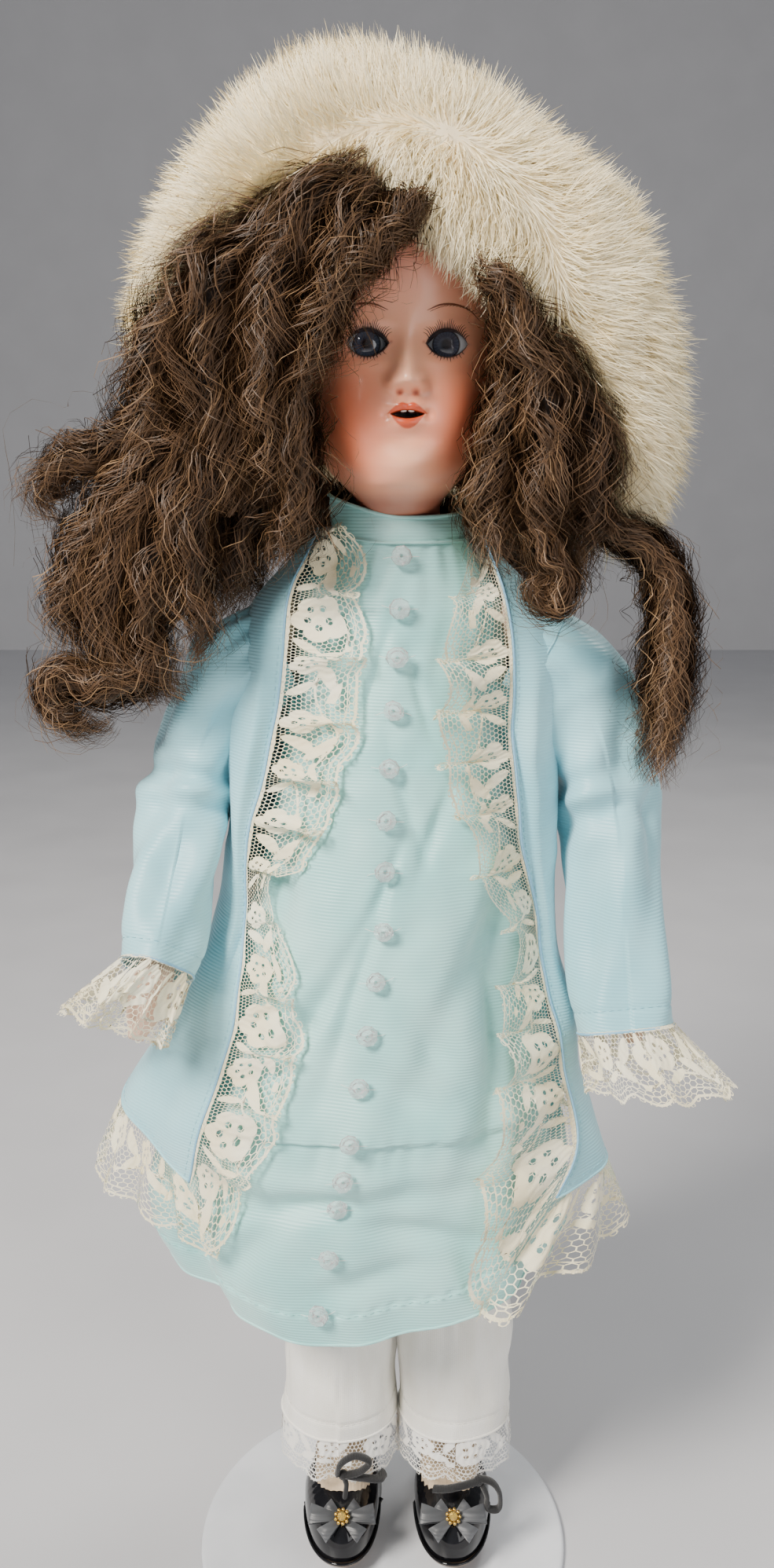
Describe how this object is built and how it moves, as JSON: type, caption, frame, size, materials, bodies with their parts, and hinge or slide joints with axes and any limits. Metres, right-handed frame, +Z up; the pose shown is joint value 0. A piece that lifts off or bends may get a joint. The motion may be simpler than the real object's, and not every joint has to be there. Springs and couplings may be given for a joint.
{
  "type": "doll",
  "caption": "Ball-jointed bisque-head doll in a pale blue taffeta dress, open lace-trimmed coat, fur bonnet and patent shoes, held by a round display stand",
  "frame": {"origin": "middle of the stand's underside", "axes": "+Z up; the doll faces -Y; +X is the doll's left"},
  "size_m": [0.196, 0.1399, 0.4688],
  "materials": {
    "bisque": "unglazed painted bisque",
    "composition": "painted composition",
    "glass_eye": "blown glass, painted iris",
    "teeth": "glazed",
    "mohair": "curled mohair",
    "fur": "cream fur",
    "taffeta": "ribbed aqua taffeta",
    "coat_taffeta": "ribbed pale blue taffeta",
    "lace": "ecru lace",
    "cotton": "white cotton",
    "stocking": "knitted",
    "patent": "black patent",
    "ribbon": "grey satin",
    "crystal": "faceted crystal",
    "wood": "turned wood",
    "elastic": "covered elastic",
    "cork": "cork",
    "steel_wire": "bright wire",
    "lead": "lead",
    "gilt": "gilt with a yellow stone",
    "enamelled_steel": "pale grey enamel",
    "shoe_leather": "thin leather sole"
  },
  "bodies": {
    "stand": {"stand_base": "enamelled_steel", "stand_post": "enamelled_steel"},
    "body": {"stand_rod": "steel_wire", "waist_clip": "steel_wire", "torso": "composition", "arm_elastic": "elastic", "leg_elastic": "elastic", "dress": "taffeta", "dress_collar": "taffeta", "crystal_buttons": "crystal", "coat": "coat_taffeta", "coat_hem_lace": "lace", "right_coat_lace": "lace", "left_coat_lace": "lace", "pantaloons": "cotton"},
    "neck": {"neck_button": "wood", "neck_hook": "steel_wire"},
    "head": {"head": "bisque", "pate": "cork", "upper_teeth": "teeth", "wig": "mohair", "hat_brim": "fur", "hat_crown": "fur"},
    "eyes": {"left_eye": "glass_eye", "right_eye": "glass_eye", "eye_rocker": "steel_wire", "eye_weight": "lead"},
    "right_upper_arm": {"right_upper_arm": "composition", "right_sleeve": "taffeta"},
    "right_forearm": {"right_elbow_ball": "composition", "right_forearm": "composition", "right_cuff_lace": "lace"},
    "right_hand": {"right_hand": "composition"},
    "right_thigh": {"right_thigh": "composition"},
    "right_shin": {"right_knee_ball": "composition", "right_shin": "composition", "right_stocking": "stocking", "right_pantaloon_lace": "lace", "right_shoe_upper": "patent", "right_shoe_sole": "shoe_leather", "right_shoe_bow": "ribbon", "right_shoe_jewel": "gilt", "right_shoe_tie": "patent"},
    "left_upper_arm": {"left_upper_arm": "composition", "left_sleeve": "taffeta"},
    "left_forearm": {"left_elbow_ball": "composition", "left_forearm": "composition", "left_cuff_lace": "lace"},
    "left_hand": {"left_hand": "composition"},
    "left_thigh": {"left_thigh": "composition"},
    "left_shin": {"left_knee_ball": "composition", "left_shin": "composition", "left_stocking": "stocking", "left_pantaloon_lace": "lace", "left_shoe_upper": "patent", "left_shoe_sole": "shoe_leather", "left_shoe_bow": "ribbon", "left_shoe_jewel": "gilt", "left_shoe_tie": "patent"}
  },
  "joints": [
    {"name": "stand_height", "type": "slide", "parent": "stand", "child": "body", "axis": [0, 0, 1], "range_m": [0, 0.035]},
    {"name": "neck_nod", "type": "hinge", "parent": "body", "child": "neck", "pos_m": [0.005, 0.008, 0.338], "axis": [1, 0, 0], "range_deg": [-3, 3], "deforming": ["leg_elastic", "dress", "coat", "dress_collar", "left_coat_lace", "right_coat_lace", "left_sleeve", "right_sleeve", "wig"]},
    {"name": "head_turn", "type": "hinge", "parent": "neck", "child": "head", "pos_m": [0.005, 0.008, 0.338], "axis": [0, 0, 1], "range_deg": [-22, 22], "deforming": ["dress", "coat", "dress_collar", "left_coat_lace", "right_coat_lace", "left_sleeve", "right_sleeve", "wig"]},
    {"name": "eyes_sleep", "type": "hinge", "parent": "head", "child": "eyes", "pos_m": [0.005, -0.0123, 0.3945], "axis": [1, 0, 0], "range_deg": [0, 60]},
    {"name": "right_shoulder_swing", "type": "hinge", "parent": "body", "child": "right_upper_arm", "pos_m": [-0.031, 0.008, 0.318], "axis": [-1, 0, 0], "range_deg": [-15, 50], "deforming": ["right_sleeve", "right_cuff_lace", "coat", "dress", "wig", "right_coat_lace", "coat_hem_lace"]},
    {"name": "right_elbow_bend", "type": "hinge", "parent": "right_upper_arm", "child": "right_forearm", "pos_m": [-0.05459, 0.008, 0.26501], "axis": [-0.9135, 0, 0.4067], "range_deg": [-30, 35], "deforming": ["right_sleeve", "right_cuff_lace", "coat", "dress", "right_coat_lace", "coat_hem_lace"]},
    {"name": "right_wrist_twist", "type": "hinge", "parent": "right_forearm", "child": "right_hand", "pos_m": [-0.06416, -0.01781, 0.22816], "axis": [-0.2079, -0.561, -0.8013], "range_deg": [-60, 60]},
    {"name": "right_hip_swing", "type": "hinge", "parent": "body", "child": "right_thigh", "pos_m": [-0.0135, 0.008, 0.188], "axis": [-1, 0, 0], "range_deg": [-2, 12], "deforming": ["pantaloons", "dress", "coat", "coat_hem_lace", "right_pantaloon_lace"]},
    {"name": "right_knee_bend", "type": "hinge", "parent": "right_thigh", "child": "right_shin", "pos_m": [-0.0135, 0.008, 0.112], "axis": [1, 0, 0], "range_deg": [0, 10], "deforming": ["pantaloons", "dress", "coat", "coat_hem_lace", "right_pantaloon_lace"]},
    {"name": "left_shoulder_swing", "type": "hinge", "parent": "body", "child": "left_upper_arm", "pos_m": [0.041, 0.008, 0.318], "axis": [-1, 0, 0], "range_deg": [-15, 50], "deforming": ["left_sleeve", "left_cuff_lace", "coat", "dress", "wig", "left_coat_lace", "coat_hem_lace"]},
    {"name": "left_elbow_bend", "type": "hinge", "parent": "left_upper_arm", "child": "left_forearm", "pos_m": [0.06823, 0.008, 0.26679], "axis": [-0.8829, 0, -0.4695], "range_deg": [-15, 45], "deforming": ["left_sleeve", "left_cuff_lace", "coat", "dress", "left_coat_lace", "coat_hem_lace"]},
    {"name": "left_wrist_twist", "type": "hinge", "parent": "left_forearm", "child": "left_hand", "pos_m": [0.07304, -0.00765, 0.2238], "axis": [0.1045, -0.3401, -0.9345], "range_deg": [-60, 60]},
    {"name": "left_hip_swing", "type": "hinge", "parent": "body", "child": "left_thigh", "pos_m": [0.0235, 0.008, 0.188], "axis": [-1, 0, 0], "range_deg": [-2, 12], "deforming": ["pantaloons", "dress", "coat", "coat_hem_lace", "left_pantaloon_lace"]},
    {"name": "left_knee_bend", "type": "hinge", "parent": "left_thigh", "child": "left_shin", "pos_m": [0.0235, 0.008, 0.112], "axis": [1, 0, 0], "range_deg": [0, 10], "deforming": ["pantaloons", "dress", "coat", "coat_hem_lace", "left_pantaloon_lace"]}
  ]
}
